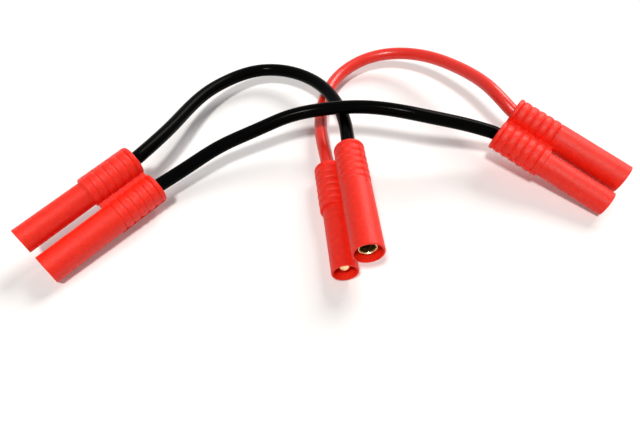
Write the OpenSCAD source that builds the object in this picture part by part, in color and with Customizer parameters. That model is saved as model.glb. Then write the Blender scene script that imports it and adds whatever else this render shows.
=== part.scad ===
// Battery adapter lead: three two-way shrouded bullet connectors in series.
// Every connector is one moulded housing with a wide shroud round a socket and
// a narrow shroud round a spring pin. Three leads join them in one chain.
// Millimetres, +Z up, standing on Z = 0. X runs to the right, Y away from the front.

/* [Housing] */
// Length from the rear face to the mouths
housing_len = 35.6; // [34:0.1:48]
// Length of the ribbed grip, from the rear face to the step
grip_len = 15.4; // [15.2:0.1:16.5]
// Outside diameter of both grips, over the ribs
grip_d = 8.6; // [8.4:0.1:9.2]
// Diameter of the plain band between the ribs and the step
band_d = 8.4; // [8.2:0.1:8.8]
// Outside diameter of the wide shroud
wide_d = 8.4; // [7.6:0.1:8.6]
// Outside diameter of the narrow shroud
narrow_d = 7.2; // [6:0.1:7.4]
// Wall of both shrouds
shroud_wall = 0.45; // [0.35:0.05:0.6]
// Distance between the two shroud axes
spacing = 9.5; // [9.3:0.1:12]
// Thickness of the web that joins the grips
web_t = 2.2; // [1.5:0.1:4]
// Thickness of the inner wall that holds the contacts
septum_t = 2.8; // [2:0.1:3.5]
// Depth of the rear pockets
pocket_len = 11.2; // [11:0.1:12]

/* [Grip] */
// Length of the plain bead at the rear edge
rear_bead = 1.4; // [1:0.1:1.6]
// Number of ribs round each grip
rib_count = 5; // [3:1:5]
// Distance from rib to rib
rib_pitch = 2.4; // [2:0.1:2.5]
// Depth of the valleys between the ribs
rib_depth = 0.35; // [0.2:0.05:0.45]
// Rounding of the rear edges
rear_round = 0.5; // [0.2:0.1:0.8]
// Height of the moulding flash along the grips
flash_h = 0.12; // [0.05:0.01:0.2]

/* [Contacts] */
// Bore of the socket
socket_bore_d = 4.1; // [3.9:0.05:4.3]
// Wall of the socket
socket_wall = 0.4; // [0.35:0.05:0.6]
// Depth of the socket's bore
socket_depth = 17; // [14:0.5:18]
// Distance from the mouth to the socket's rim
socket_recess = 1.4; // [0.5:0.1:5]
// Diameter of the pin's solid shank
pin_d = 4; // [3.6:0.1:4.2]
// Diameter of the pin's core under the spring
core_d = 2.6; // [2.2:0.1:2.8]
// Distance from the mouth to the pin's tip
pin_recess = 1; // [0.5:0.1:5]
// Length of the nose in front of the spring
nose_len = 2.4; // [1.8:0.1:3]
// Step of the collars that stop the contacts
collar_step = 0.3; // [0.2:0.05:0.4]
// Thickness of the collars
collar_t = 1.2; // [0.8:0.1:1.5]
// Length of the solder cups behind the collars' front face
cup_len = 7.6; // [6:0.1:8]
// Depth of the solder cups
cup_depth = 5.6; // [4:0.1:6]
// Wall of the solder cups
cup_wall = 0.5; // [0.4:0.05:0.7]
// Clearance round each contact, on the radius
slip = 0.05; // [0.02:0.01:0.1]

/* [Spring] */
// Length of the lantern spring
spring_len = 11; // [8:0.5:12]
// Largest diameter of its bulge
spring_bulge_d = 4.3; // [4.1:0.05:4.5]
// Thickness of its sheet
spring_t = 0.2; // [0.15:0.05:0.3]
// Length of the closed band at each end
spring_band = 1.4; // [1:0.1:2]
// Number of leaves
leaf_count = 8; // [6:1:10]
// Width of the slots between the leaves
slot_w = 0.45; // [0.3:0.05:0.6]

/* [Leads] */
// Outside diameter of each lead
lead_d = 3.9; // [3.5:0.1:4.2]
// Diameter of its bundle of strands
strand_d = 2.4; // [2:0.1:2.6]

/* [Hidden] */
$fn = 64;
eps = 0.01;

grip_r = grip_d / 2;
chamber_z = pocket_len + septum_t;
socket_d = socket_bore_d + 2 * socket_wall;
socket_collar_d = socket_d + 2 * collar_step;
pin_body_d = pin_d + 2 * cup_wall;
pin_collar_d = pin_body_d + 2 * collar_step;
socket_cup_bore = socket_d - 2 * cup_wall;
pin_cup_bore = pin_body_d - 2 * cup_wall;
wide_pocket_d = socket_collar_d + 2 * slip;
narrow_pocket_d = pin_collar_d + 2 * slip;
socket_tip = housing_len - pocket_len - socket_recess;
pin_tip = housing_len - pocket_len - pin_recess;
spring_start = pin_tip - nose_len - spring_len;
lead_seat = pocket_len - cup_len - 1.2;

// Attitude of each connector: place of its wide rear face in X and Y, heading of
// its mouths, how far they dip, and the roll that carries the narrow shroud round.
left_at = [[-49.82, 1.24], 226.4, 4.2, 234.5];
middle_at = [[3.58, 10.04], 276.1, 0, 324.2];
right_at = [[51.98, 23.94], 324.2, 11.9, 281.9];

function heading(at) = [cos(at[2]) * cos(at[1]), cos(at[2]) * sin(at[1]), -sin(at[2])];
function under(at) = [-sin(at[2]) * cos(at[1]), -sin(at[2]) * sin(at[1]), -cos(at[2])];
function across(at) = cos(at[3]) * under(at) + sin(at[3]) * [-sin(at[1]), cos(at[1]), 0];

// Height that sets the lowest rim of a connector on Z = 0
function rim_low(at, x, z, d) = x * across(at).z + z * heading(at).z - d / 2 * cos(at[2]);
function seat_height(at) = -min(
  rim_low(at, 0, 0, grip_d), rim_low(at, spacing, 0, grip_d),
  rim_low(at, 0, grip_len, grip_d), rim_low(at, spacing, grip_len, grip_d),
  rim_low(at, 0, housing_len, wide_d), rim_low(at, spacing, housing_len, narrow_d));
function rear(at) = [at[0].x, at[0].y, seat_height(at)];
function on_axis(at, x, z) = rear(at) + x * across(at) + z * heading(at);

module place(at, x = 0, z = 0)
  translate(rear(at)) rotate([0, 0, at[1]]) rotate([0, 90 + at[2], 0])
    rotate([0, 0, at[3]]) translate([x, 0, z]) children();

// ---- Housing ----
// Broad rounded ribs with narrow valleys: place along the pitch, depth below the crest
rib_form = [[0, 1], [0.12, 0.42], [0.3, 0.08], [0.5, 0], [0.7, 0.08], [0.88, 0.42]];
function rib_wave() = [
  for (i = [0 : rib_count - 1], s = rib_form)
    [grip_r - rib_depth * s[1], rear_bead + (i + s[0]) * rib_pitch]
];
rib_end = rear_bead + rib_count * rib_pitch;
function rear_arc() = [
  for (a = [-90 : 22.5 : 0])
    [grip_r - rear_round + rear_round * cos(a), rear_round + rear_round * sin(a)]
];
// One shroud with its grip: rounded rear edge, ribs, plain band, shoulder, tube
module shroud(tube_d, shoulder)
  rotate_extrude()
    polygon(concat([[0, 0]], rear_arc(), [[grip_r, rear_bead - 0.35]], rib_wave(),
      [[grip_r - rib_depth, rib_end], [band_d / 2, rib_end + 0.3]], shoulder, [
      [tube_d / 2, housing_len - 0.15], [tube_d / 2 - 0.15, housing_len], [0, housing_len]
    ]));
// The wide tube runs on flush from its grip; the narrow one steps down
wide_shoulder = [[band_d / 2, grip_len - 0.5], [wide_d / 2, grip_len]];
narrow_shoulder = [[band_d / 2, grip_len - 0.15], [band_d / 2 - 0.15, grip_len],
  [narrow_d / 2, grip_len]];

module web()
  translate([0, -web_t / 2, rear_round]) cube([spacing, web_t, grip_len - rear_round - 0.3]);

// Fine line where the halves of the mould meet, along the outer side of each grip
module flash()
  for (side = [-grip_r - flash_h, spacing])
    translate([side, -0.12, rear_round]) cube([grip_r + flash_h, 0.24, grip_len - rear_round - 0.3]);

// Rear pocket, seat and front chamber of one way
module way_cut(pocket_d, body_d, tube_d) {
  translate([0, 0, -eps]) cylinder(d = pocket_d, h = pocket_len + eps);
  translate([0, 0, pocket_len - eps]) cylinder(d = body_d + 2 * slip, h = septum_t + 2 * eps);
  translate([0, 0, chamber_z])
    cylinder(d = tube_d - 2 * shroud_wall, h = housing_len - chamber_z + eps);
}
module housing()
  difference() {
    union() {
      shroud(wide_d, wide_shoulder);
      translate([spacing, 0, 0]) shroud(narrow_d, narrow_shoulder);
      web();
      flash();
    }
    way_cut(wide_pocket_d, socket_d, wide_d);
    translate([spacing, 0, 0]) way_cut(narrow_pocket_d, pin_d, narrow_d);
  }

// ---- Contacts, with Z = 0 on the collar's front face and +Z to the tip ----
module socket()
  rotate_extrude()
    polygon([
      [0, -cup_len + cup_depth], [socket_cup_bore / 2, -cup_len + cup_depth],
      [socket_cup_bore / 2, -cup_len], [socket_d / 2, -cup_len], [socket_d / 2, -collar_t],
      [socket_collar_d / 2, -collar_t], [socket_collar_d / 2, 0], [socket_d / 2, 0],
      [socket_d / 2, socket_tip - 0.1], [socket_d / 2 - 0.1, socket_tip],
      [socket_bore_d / 2 + 0.15, socket_tip], [socket_bore_d / 2, socket_tip - 0.3],
      [socket_bore_d / 2, socket_tip - socket_depth], [0, socket_tip - socket_depth - 1]
    ]);

// Domed nose that keeps the spring on the core
nose_r = core_d / 2 + 0.5;
nose_points = [
  for (a = [0 : 15 : 90])
    [nose_r * cos(a), pin_tip - nose_len * 0.6 * (1 - sin(a))]
];
module pin()
  rotate_extrude()
    polygon(concat([
      [0, -cup_len + cup_depth], [pin_cup_bore / 2, -cup_len + cup_depth],
      [pin_cup_bore / 2, -cup_len], [pin_body_d / 2, -cup_len], [pin_body_d / 2, -collar_t],
      [pin_collar_d / 2, -collar_t], [pin_collar_d / 2, 0], [pin_d / 2, 0],
      [pin_d / 2, spring_start - 0.3], [pin_d / 2 - 0.3, spring_start],
      [core_d / 2, spring_start], [core_d / 2, spring_start + spring_len],
      [nose_r, spring_start + spring_len]
    ], nose_points));

// Lantern spring: a barrel of thin sheet, slit into leaves between two closed bands
spring_r = core_d / 2 + 0.02 + spring_t;
slot_start = spring_band + slot_w / 2;
function barrel(r) = [
  for (k = [0 : 8])
    [r + (spring_bulge_d / 2 - spring_r) * sin(180 * k / 8),
     spring_band + (spring_len - 2 * spring_band) * k / 8]
];
function reversed(v) = [for (i = [len(v) - 1 : -1 : 0]) v[i]];
module pin_spring()
  translate([0, 0, spring_start])
    difference() {
      rotate_extrude()
        polygon(concat([[spring_r, 0]], barrel(spring_r), [[spring_r, spring_len],
          [spring_r - spring_t, spring_len]], reversed(barrel(spring_r - spring_t)),
          [[spring_r - spring_t, 0]]));
      for (i = [0 : leaf_count - 1])
        rotate([0, 0, i * 360 / leaf_count])
          translate([core_d / 4, -slot_w / 2, slot_start])
            cube([spring_bulge_d, slot_w, spring_len - 2 * slot_start]);
    }

// Solder that fills a cup round the strands, hollow towards the wire
module solder(cup_bore)
  rotate_extrude()
    polygon([
      [strand_d / 2, -cup_len + cup_depth], [cup_bore / 2, -cup_len + cup_depth],
      [cup_bore / 2, -cup_len + 0.4], [cup_bore / 2 * 0.86, -cup_len + 0.9],
      [strand_d / 2 + 0.3, -cup_len + 0.9], [strand_d / 2, -cup_len + 0.1]
    ]);

module strands()
  translate([0, 0, lead_seat - pocket_len])
    cylinder(d = strand_d, h = pocket_len - lead_seat - cup_len + cup_depth);

// ---- Leads ----
// Route points between the connectors, in millimetres
black_1_route = [
  [-51.5, 14, 11.5], [-48, 22.5, 10], [-45, 31.5, 8.5], [-40.5, 40.5, 7.5], [-34.5, 47.5, 6.5],
  [-27.5, 52.5, 6], [-20, 53.5, 6], [-12, 50, 7], [-4.5, 42.5, 8.5], [0.5, 32, 10],
  [3, 21, 11.5]
];
black_2_route = [
  [-44, 6.5, 7], [-38.5, 11, 8], [-33, 15, 9], [-26.5, 18, 10], [-20, 21, 11],
  [-13.5, 23.5, 12.5], [-6, 24.5, 13.5], [1, 24, 15], [8, 22.5, 16.5], [14.5, 21, 17],
  [21.5, 19, 17], [28, 18, 16], [35.5, 18, 14], [42.5, 17.5, 12]
];
red_route = [
  [-3.5, 18.5, 4.5], [-4.5, 29.5, 4], [-3, 41, 4], [1, 51.5, 4], [8.5, 58.5, 5],
  [16.5, 61, 6], [24.5, 59.5, 7.5], [32, 54.5, 9.5], [38, 47.5, 11.5], [43.5, 39, 13.5],
  [47.5, 30, 15]
];

// A lead from way x0 of one connector to way x1 of another
function lead_line(at0, x0, route, at1, x1) = concat(
  [on_axis(at0, x0, lead_seat), on_axis(at0, x0, -1)], route,
  [on_axis(at1, x1, -1), on_axis(at1, x1, lead_seat)]);
function unit(v) = v / norm(v);
function tangent(p, i) = i < 2 ? unit(p[1] - p[0])
  : i > len(p) - 3 ? unit(p[len(p) - 1] - p[len(p) - 2]) : unit(p[i + 1] - p[i - 1]);
function ring(p, i, d, n) = let(
    t = tangent(p, i), u = unit(cross([0, 0, 1], t)), v = cross(t, u))
  [for (j = [0 : n - 1]) p[i] + d / 2 * (cos(360 * j / n) * u + sin(360 * j / n) * v)];

module sweep(p, d, n = 8)
  polyhedron(
    points = [for (i = [0 : len(p) - 1]) each ring(p, i, d, n)],
    faces = concat(
      [[for (j = [0 : n - 1]) j]],
      [for (i = [0 : len(p) - 2], j = [0 : n - 1])
        [i * n + j, (i + 1) * n + j, (i + 1) * n + (j + 1) % n, i * n + (j + 1) % n]],
      [[for (j = [n - 1 : -1 : 0]) (len(p) - 1) * n + j]]));

red = [0.92, 0.13, 0.11];
gold = [0.85, 0.65, 0.25];
tin = [0.75, 0.75, 0.75];
copper = [0.80, 0.50, 0.35];

module left_housing() color(red) place(left_at) housing();
module left_socket() color(gold) place(left_at, 0, pocket_len) socket();
module left_pin() color(gold) place(left_at, spacing, pocket_len) pin();
module left_pin_spring() color(gold) place(left_at, spacing, pocket_len) pin_spring();
module left_socket_solder() color(tin) place(left_at, 0, pocket_len) solder(socket_cup_bore);
module left_pin_solder() color(tin) place(left_at, spacing, pocket_len) solder(pin_cup_bore);
module left_socket_strands() color(copper) place(left_at, 0, pocket_len) strands();
module left_pin_strands() color(copper) place(left_at, spacing, pocket_len) strands();

module middle_housing() color(red) place(middle_at) housing();
module middle_socket() color(gold) place(middle_at, 0, pocket_len) socket();
module middle_pin() color(gold) place(middle_at, spacing, pocket_len) pin();
module middle_pin_spring() color(gold) place(middle_at, spacing, pocket_len) pin_spring();
module middle_socket_solder() color(tin) place(middle_at, 0, pocket_len) solder(socket_cup_bore);
module middle_pin_solder() color(tin) place(middle_at, spacing, pocket_len) solder(pin_cup_bore);
module middle_socket_strands() color(copper) place(middle_at, 0, pocket_len) strands();
module middle_pin_strands() color(copper) place(middle_at, spacing, pocket_len) strands();

module right_housing() color(red) place(right_at) housing();
module right_socket() color(gold) place(right_at, 0, pocket_len) socket();
module right_pin() color(gold) place(right_at, spacing, pocket_len) pin();
module right_pin_spring() color(gold) place(right_at, spacing, pocket_len) pin_spring();
module right_socket_solder() color(tin) place(right_at, 0, pocket_len) solder(socket_cup_bore);
module right_pin_solder() color(tin) place(right_at, spacing, pocket_len) solder(pin_cup_bore);
module right_socket_strands() color(copper) place(right_at, 0, pocket_len) strands();
module right_pin_strands() color(copper) place(right_at, spacing, pocket_len) strands();

module black_lead_1() color("black")
  sweep(lead_line(left_at, spacing, black_1_route, middle_at, 0), lead_d);
module black_lead_2() color("black")
  sweep(lead_line(left_at, 0, black_2_route, right_at, spacing), lead_d);
module red_lead() color(red)
  sweep(lead_line(middle_at, spacing, red_route, right_at, 0), lead_d);

left_housing();
left_socket();
left_pin();
left_pin_spring();
left_socket_solder();
left_pin_solder();
left_socket_strands();
left_pin_strands();
middle_housing();
middle_socket();
middle_pin();
middle_pin_spring();
middle_socket_solder();
middle_pin_solder();
middle_socket_strands();
middle_pin_strands();
right_housing();
right_socket();
right_pin();
right_pin_spring();
right_socket_solder();
right_pin_solder();
right_socket_strands();
right_pin_strands();
black_lead_1();
black_lead_2();
red_lead();
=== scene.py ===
"""Battery adapter lead: camera, leads, materials, floor and light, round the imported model.

Blender works in metres. Sizes and routes are written in millimetres, as in the CAD source.
"""

import math

import bpy
from mathutils import Matrix, Vector


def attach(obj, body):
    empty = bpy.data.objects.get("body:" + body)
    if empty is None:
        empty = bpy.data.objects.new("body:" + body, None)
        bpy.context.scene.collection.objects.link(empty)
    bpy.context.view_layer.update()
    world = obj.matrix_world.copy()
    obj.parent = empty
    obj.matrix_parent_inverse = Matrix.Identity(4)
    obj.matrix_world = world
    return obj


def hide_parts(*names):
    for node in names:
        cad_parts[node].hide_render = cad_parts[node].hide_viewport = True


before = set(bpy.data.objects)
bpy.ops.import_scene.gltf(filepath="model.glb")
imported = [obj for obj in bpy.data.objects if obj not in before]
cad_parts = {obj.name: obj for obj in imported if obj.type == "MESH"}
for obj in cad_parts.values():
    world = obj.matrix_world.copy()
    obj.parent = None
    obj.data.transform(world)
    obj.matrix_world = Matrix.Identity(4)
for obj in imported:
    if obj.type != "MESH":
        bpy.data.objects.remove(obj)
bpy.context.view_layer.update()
MM = 0.001

# ---------------------------------------------------------------- camera
CAMERA_AT = (-2.95, -105.2, 128.1)
CAMERA_PITCH = 37.95  # degrees from straight down
CAMERA_YAW = 0.95
CAMERA_ROLL = -1.2
CAMERA_LENS = 32.7
CAMERA_SENSOR = 36


def make_camera():
    cam = bpy.data.objects.new("camera", bpy.data.cameras.new("camera"))
    bpy.context.collection.objects.link(cam)
    cam.data.lens = CAMERA_LENS
    cam.data.sensor_width = CAMERA_SENSOR
    cam.data.clip_start = 0.005
    cam.data.clip_end = 10
    turn = (
        Matrix.Rotation(math.radians(CAMERA_YAW), 4, "Z")
        @ Matrix.Rotation(math.radians(CAMERA_PITCH), 4, "X")
        @ Matrix.Rotation(math.radians(CAMERA_ROLL), 4, "Z")
    )
    cam.matrix_world = Matrix.Translation([v * MM for v in CAMERA_AT]) @ turn
    return cam


bpy.context.scene.camera = make_camera()
bpy.context.scene.view_settings.view_transform = "Standard"

# ---------------------------------------------------------------- connectors
SPACING = 9.5
HOUSING_LEN = 35.6
GRIP_LEN = 15.4
GRIP_D = 8.6
WIDE_D = 8.4
NARROW_D = 7.2
# Centre of the wide rear face in X and Y, then heading, dip and roll in degrees
LEFT = ((-49.82, 1.24), 226.4, 4.2, 234.5)
MIDDLE = ((3.58, 10.04), 276.1, 0.0, 324.2)
RIGHT = ((51.98, 23.94), 324.2, 11.9, 281.9)


def axes(at):
    """Across (wide to narrow way) and heading (rear to mouth) of a connector."""
    yaw, dip, roll = (math.radians(v) for v in at[1:])
    heading = Vector((math.cos(dip) * math.cos(yaw), math.cos(dip) * math.sin(yaw), -math.sin(dip)))
    under = Vector((-math.sin(dip) * math.cos(yaw), -math.sin(dip) * math.sin(yaw), -math.cos(dip)))
    side = Vector((-math.sin(yaw), math.cos(yaw), 0))
    return math.cos(roll) * under + math.sin(roll) * side, heading


def rear(at):
    """Centre of the wide rear face, as high as sets the connector on the table."""
    across, heading = axes(at)
    reach = math.cos(math.radians(at[2])) / 2
    rims = [(x, z, GRIP_D) for x in (0, SPACING) for z in (0, GRIP_LEN)]
    rims += [(0, HOUSING_LEN, WIDE_D), (SPACING, HOUSING_LEN, NARROW_D)]
    low = min(x * across.z + z * heading.z - d * reach for x, z, d in rims)
    return Vector((*at[0], -low))


def on_axis(at, x, z):
    """Point of a connector, x across from its wide way and z in from its rear face."""
    across, heading = axes(at)
    return rear(at) + x * across + z * heading


# ---------------------------------------------------------------- leads
LEAD_D = 3.9
LEAD_SEAT = 2.4  # depth of each end in its rear pocket
LEAD_STRAIGHT = 1  # straight stretch behind the rear face
EASE_REACH = 4 * MM
CURVE_STEPS = 8  # from one route point to the next

# The points of each lead between its straight ends
BLACK_1_ROUTE = [
    (-51.5, 14, 11.5), (-48, 22.5, 10), (-45, 31.5, 8.5), (-40.5, 40.5, 7.5), (-34.5, 47.5, 6.5),
    (-27.5, 52.5, 6), (-20, 53.5, 6), (-12, 50, 7), (-4.5, 42.5, 8.5), (0.5, 32, 10),
    (3, 21, 11.5),
]
BLACK_2_ROUTE = [
    (-44, 6.5, 7), (-38.5, 11, 8), (-33, 15, 9), (-26.5, 18, 10), (-20, 21, 11),
    (-13.5, 23.5, 12.5), (-6, 24.5, 13.5), (1, 24, 15), (8, 22.5, 16.5), (14.5, 21, 17),
    (21.5, 19, 17), (28, 18, 16), (35.5, 18, 14), (42.5, 17.5, 12),
]
RED_ROUTE = [
    (-3.5, 18.5, 4.5), (-4.5, 29.5, 4), (-3, 41, 4), (1, 51.5, 4), (8.5, 58.5, 5),
    (16.5, 61, 6), (24.5, 59.5, 7.5), (32, 54.5, 9.5), (38, 47.5, 11.5), (43.5, 39, 13.5),
    (47.5, 30, 15),
]


def lead_line(at0, x0, route, at1, x1):
    """Every point of a lead in metres, from one solder cup to the other."""
    start = [on_axis(at0, x0, LEAD_SEAT), on_axis(at0, x0, -LEAD_STRAIGHT)]
    end = [on_axis(at1, x1, -LEAD_STRAIGHT), on_axis(at1, x1, LEAD_SEAT)]
    return [p * MM for p in start + [Vector(p) for p in route] + end]


def smooth_line(points):
    """Centripetal Catmull-Rom curve through the points."""
    p = [2 * points[0] - points[1]] + points + [2 * points[-1] - points[-2]]
    line = []
    for i in range(1, len(p) - 2):
        a, b, c, d = p[i - 1 : i + 3]
        t1 = (b - a).length ** 0.5
        t2 = t1 + (c - b).length ** 0.5
        t3 = t2 + (d - c).length ** 0.5
        for k in range(CURVE_STEPS):
            t = t1 + (t2 - t1) * k / CURVE_STEPS
            ab = (t1 - t) / t1 * a + t / t1 * b
            bc = (t2 - t) / (t2 - t1) * b + (t - t1) / (t2 - t1) * c
            cd = (t3 - t) / (t3 - t2) * c + (t - t2) / (t3 - t2) * d
            abc = (t2 - t) / t2 * ab + t / t2 * bc
            bcd = (t3 - t) / (t3 - t1) * bc + (t - t1) / (t3 - t1) * cd
            line.append((t2 - t) / (t2 - t1) * abc + (t - t1) / (t2 - t1) * bcd)
    return line + [points[-1]]


def ease(line):
    """The same line with its small waves evened out; its ends stay where they are."""
    along = [0.0]
    for a, b in zip(line, line[1:]):
        along.append(along[-1] + (b - a).length)
    eased = []
    for at in along:
        room = min(at, along[-1] - at)
        width = max(min(EASE_REACH, room / 2), 1e-5)
        near = [(math.exp(-0.5 * ((s - at) / width) ** 2), p)
                for s, p in zip(along, line) if abs(s - at) <= 2 * width]
        total = sum(w for w, _ in near)
        eased.append(sum((w / total * p for w, p in near), Vector()))
    return eased


def make_lead(name, node, points):
    """A round lead along the points, in place of its CAD solid."""
    line = ease(smooth_line(points))
    curve = bpy.data.curves.new(name, "CURVE")
    curve.dimensions = "3D"
    curve.bevel_depth = 1.0  # the radius comes from the points
    curve.bevel_resolution = 8
    curve.use_fill_caps = True
    spline = curve.splines.new("POLY")
    spline.points.add(len(line) - 1)
    for point, at in zip(spline.points, line):
        point.co = (*at, 1)
        point.radius = LEAD_D / 2 * MM
    lead = bpy.data.objects.new(name, curve)
    bpy.context.collection.objects.link(lead)
    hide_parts(node)
    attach(lead, "root")
    return lead


black_1 = make_lead("black_lead_one", "black_lead_1",
                    lead_line(LEFT, SPACING, BLACK_1_ROUTE, MIDDLE, 0))
black_2 = make_lead("black_lead_two", "black_lead_2",
                    lead_line(LEFT, 0, BLACK_2_ROUTE, RIGHT, SPACING))
red = make_lead("red_lead_one", "red_lead",
                lead_line(MIDDLE, SPACING, RED_ROUTE, RIGHT, 0))

# ---------------------------------------------------------------- materials
# Nearly all of a noise texture lies between these two values
NOISE_LOW = 0.3
NOISE_HIGH = 0.7


class Finish:
    """A material, and short ways to add its nodes."""

    def __init__(self, name):
        self.material = bpy.data.materials.new(name)
        self.material.use_nodes = True
        self.tree = self.material.node_tree
        self.shader = self.tree.nodes["Principled BSDF"]
        self.place = self.tree.nodes.new("ShaderNodeTexCoord").outputs["Object"]

    def link(self, source, target):
        self.tree.links.new(source, target)

    def noise(self, scale, detail=3.0, rough=0.55, stretch=None):
        node = self.tree.nodes.new("ShaderNodeTexNoise")
        node.inputs["Scale"].default_value = scale
        node.inputs["Detail"].default_value = detail
        node.inputs["Roughness"].default_value = rough
        place = self.place
        if stretch:
            mapping = self.tree.nodes.new("ShaderNodeMapping")
            mapping.inputs["Scale"].default_value = stretch
            self.link(place, mapping.inputs["Vector"])
            place = mapping.outputs["Vector"]
        self.link(place, node.inputs["Vector"])
        return node.outputs["Fac"]

    def colour(self, source, dark, light):
        """Base colour that varies between two with the source."""
        node = self.tree.nodes.new("ShaderNodeValToRGB")
        stops = ((NOISE_LOW, dark), (NOISE_HIGH, light))
        for element, (at, colour) in zip(node.color_ramp.elements, stops):
            element.position = at
            element.color = (*colour, 1)
        self.link(source, node.inputs["Fac"])
        self.link(node.outputs["Color"], self.shader.inputs["Base Color"])

    def roughness(self, source, low, high):
        """Roughness that varies between two values with the source."""
        node = self.tree.nodes.new("ShaderNodeMapRange")
        node.inputs["From Min"].default_value = NOISE_LOW
        node.inputs["From Max"].default_value = NOISE_HIGH
        node.inputs["To Min"].default_value = low
        node.inputs["To Max"].default_value = high
        self.link(source, node.inputs["Value"])
        self.link(node.outputs["Result"], self.shader.inputs["Roughness"])

    def bump(self, source, height, strength):
        """Bump of a height in metres, on top of any bump already there."""
        node = self.tree.nodes.new("ShaderNodeBump")
        node.inputs["Distance"].default_value = height
        node.inputs["Strength"].default_value = strength
        self.link(source, node.inputs["Height"])
        normal = self.shader.inputs["Normal"]
        if normal.is_linked:
            self.link(normal.links[0].from_socket, node.inputs["Normal"])
        self.link(node.outputs["Normal"], normal)

    def set(self, **values):
        for name, value in values.items():
            self.shader.inputs[name.replace("_", " ")].default_value = value


def moulded_red():
    """Dyed nylon: strong red, a fine matt skin and a faint glow through its thin walls."""
    m = Finish("moulded_red")
    m.colour(m.noise(700, 6, 0.75), (0.80, 0.010, 0.002), (0.97, 0.026, 0.006))
    m.roughness(m.noise(1500, 4), 0.40, 0.54)
    m.bump(m.noise(3000, 3, 0.6), 0.0001, 0.9)
    m.bump(m.noise(420, 2), 0.00006, 0.3)
    m.set(Specular_IOR_Level=0.4, Subsurface_Weight=0.2, Subsurface_Scale=0.0015,
          Subsurface_Radius=(1.0, 0.25, 0.15))
    return m.material


def gold():
    """Bright plating with a fine grain and a few duller patches."""
    m = Finish("gold_plate")
    m.colour(m.noise(600, 3), (0.90, 0.66, 0.30), (0.96, 0.78, 0.44))
    m.roughness(m.noise(2500, 4), 0.14, 0.30)
    m.bump(m.noise(6000, 3), 0.000006, 0.5)
    m.set(Metallic=1.0)
    return m.material


def solder():
    """Tin that has flowed and set in soft lumps."""
    m = Finish("tin_solder")
    m.colour(m.noise(900, 4), (0.52, 0.52, 0.52), (0.74, 0.74, 0.72))
    m.roughness(m.noise(1800, 4), 0.22, 0.45)
    m.bump(m.noise(1500, 3), 0.00005, 0.5)
    m.set(Metallic=1.0)
    return m.material


def copper():
    """Stripped strands, with a streaky bump for the single wires."""
    m = Finish("copper_strands")
    m.colour(m.noise(1200, 3), (0.62, 0.30, 0.17), (0.86, 0.50, 0.33))
    m.roughness(m.noise(2500, 3), 0.25, 0.45)
    m.bump(m.noise(3000, 2, stretch=(1, 1, 0.2)), 0.00006, 0.6)
    m.set(Metallic=1.0)
    return m.material


def silicone(name, dark, light, rough, shine):
    """Soft extruded sheath: even colour, a faint dusty bloom and a shallow uneven bump."""
    m = Finish(name)
    m.colour(m.noise(260, 4), dark, light)
    m.roughness(m.noise(900, 4), rough - 0.03, rough + 0.05)
    m.bump(m.noise(3500, 3), 0.00001, 0.15)
    m.bump(m.noise(160, 2), 0.00008, 0.1)
    m.set(Specular_IOR_Level=shine)
    return m.material


def dress(obj, material):
    obj.data.materials.clear()
    obj.data.materials.append(material)


gold_metal = gold()
black_sheath = silicone("black_sheath", (0.0002, 0.0002, 0.0002), (0.0007, 0.0007, 0.0006),
                        rough=0.17, shine=0.025)
red_sheath = silicone("red_sheath", (0.77, 0.012, 0.002), (0.83, 0.018, 0.004),
                      rough=0.30, shine=0.5)
dress(black_1, black_sheath)
dress(black_2, black_sheath)
dress(red, red_sheath)

# The CAD nodes, by the last word of their names; the leads' hidden solids take the sheath
FINISH = {"housing": moulded_red(), "spring": gold_metal, "solder": solder(),
          "strands": copper(), "socket": gold_metal, "pin": gold_metal}
for node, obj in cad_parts.items():
    for slot in obj.material_slots:
        slot.material = FINISH.get(node.split("_")[-1], black_sheath)

# ---------------------------------------------------------------- floor and light
FLOOR_REACH = 3  # metres each way from the middle
FLOOR_LIFT = 0.12  # what takes the lit table to white for the camera
ROOM_FILL = 0.1  # strength of the room's light on the part
ROOM_SEEN = 0.95  # strength of the room as seen directly or in gloss
WARM_WHITE = (1.0, 0.965, 0.93)


def any_ray(tree, *kinds):
    """1 for a ray of any of the kinds, otherwise 0."""
    path = tree.nodes.new("ShaderNodeLightPath")
    level = path.outputs[kinds[0]]
    for kind in kinds[1:]:
        either = tree.nodes.new("ShaderNodeMath")
        either.operation = "MAXIMUM"
        tree.links.new(level, either.inputs[0])
        tree.links.new(path.outputs[kind], either.inputs[1])
        level = either.outputs[0]
    return level


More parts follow.
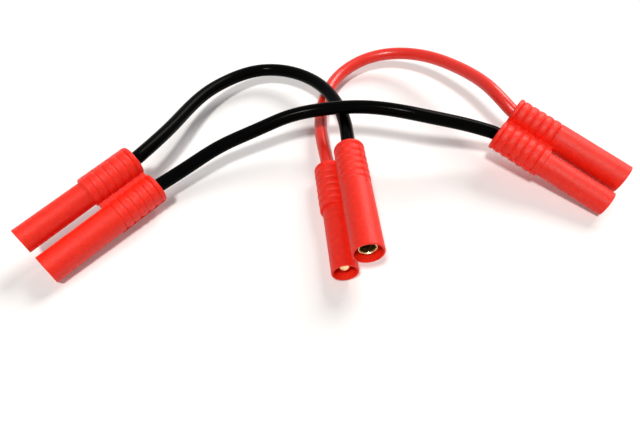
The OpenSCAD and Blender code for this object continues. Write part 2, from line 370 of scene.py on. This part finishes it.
def table_top():
    """Matt white table; what the camera sees of it is lifted to white where it is lit."""
    m = Finish("table_top")
    m.colour(m.noise(30, 2), (0.86, 0.86, 0.855), (0.88, 0.88, 0.88))
    m.set(Roughness=0.6, Specular_IOR_Level=0.2)
    lift = m.tree.nodes.new("ShaderNodeMath")
    lift.operation = "MULTIPLY"
    lift.inputs[1].default_value = FLOOR_LIFT
    m.link(any_ray(m.tree, "Is Camera Ray", "Is Glossy Ray"), lift.inputs[0])
    glow = m.tree.nodes.new("ShaderNodeEmission")
    m.link(lift.outputs[0], glow.inputs["Strength"])
    add = m.tree.nodes.new("ShaderNodeAddShader")
    m.link(m.shader.outputs[0], add.inputs[0])
    m.link(glow.outputs[0], add.inputs[1])
    m.link(add.outputs[0], m.tree.nodes["Material Output"].inputs["Surface"])
    return m.material


def make_floor():
    r = FLOOR_REACH
    mesh = bpy.data.meshes.new("floor")
    mesh.from_pydata([(-r, -r, 0), (r, -r, 0), (r, r, 0), (-r, r, 0)], [], [(0, 1, 2, 3)])
    floor = bpy.data.objects.new("floor", mesh)
    bpy.context.collection.objects.link(floor)
    dress(floor, table_top())


def pale_room():
    """Faint fill on the part; the camera, gloss and glass see a pale room."""
    world = bpy.data.worlds.new("room")
    world.use_nodes = True
    tree = world.node_tree
    strength = tree.nodes.new("ShaderNodeMapRange")
    strength.inputs["To Min"].default_value = ROOM_FILL
    strength.inputs["To Max"].default_value = ROOM_SEEN
    seen = any_ray(tree, "Is Camera Ray", "Is Glossy Ray", "Is Transmission Ray")
    tree.links.new(seen, strength.inputs["Value"])
    background = tree.nodes["Background"]
    background.inputs["Color"].default_value = (1, 1, 1, 1)
    tree.links.new(strength.outputs["Result"], background.inputs["Strength"])
    return world


def soft_light(name, direction, strength, spread):
    """A distant lamp, as even over the whole table; its spread in degrees softens the shadows."""
    lamp = bpy.data.lights.new(name, "SUN")
    lamp.energy = strength
    lamp.angle = math.radians(spread)
    lamp.color = WARM_WHITE
    obj = bpy.data.objects.new(name, lamp)
    bpy.context.collection.objects.link(obj)
    obj.rotation_euler = Vector(direction).to_track_quat("Z", "Y").to_euler()


make_floor()
bpy.context.scene.world = pale_room()
soft_light("key", direction=(-0.15, -0.45, 1.0), strength=2.1, spread=9)
soft_light("back", direction=(0.5, 0.65, 0.75), strength=2.1, spread=30)
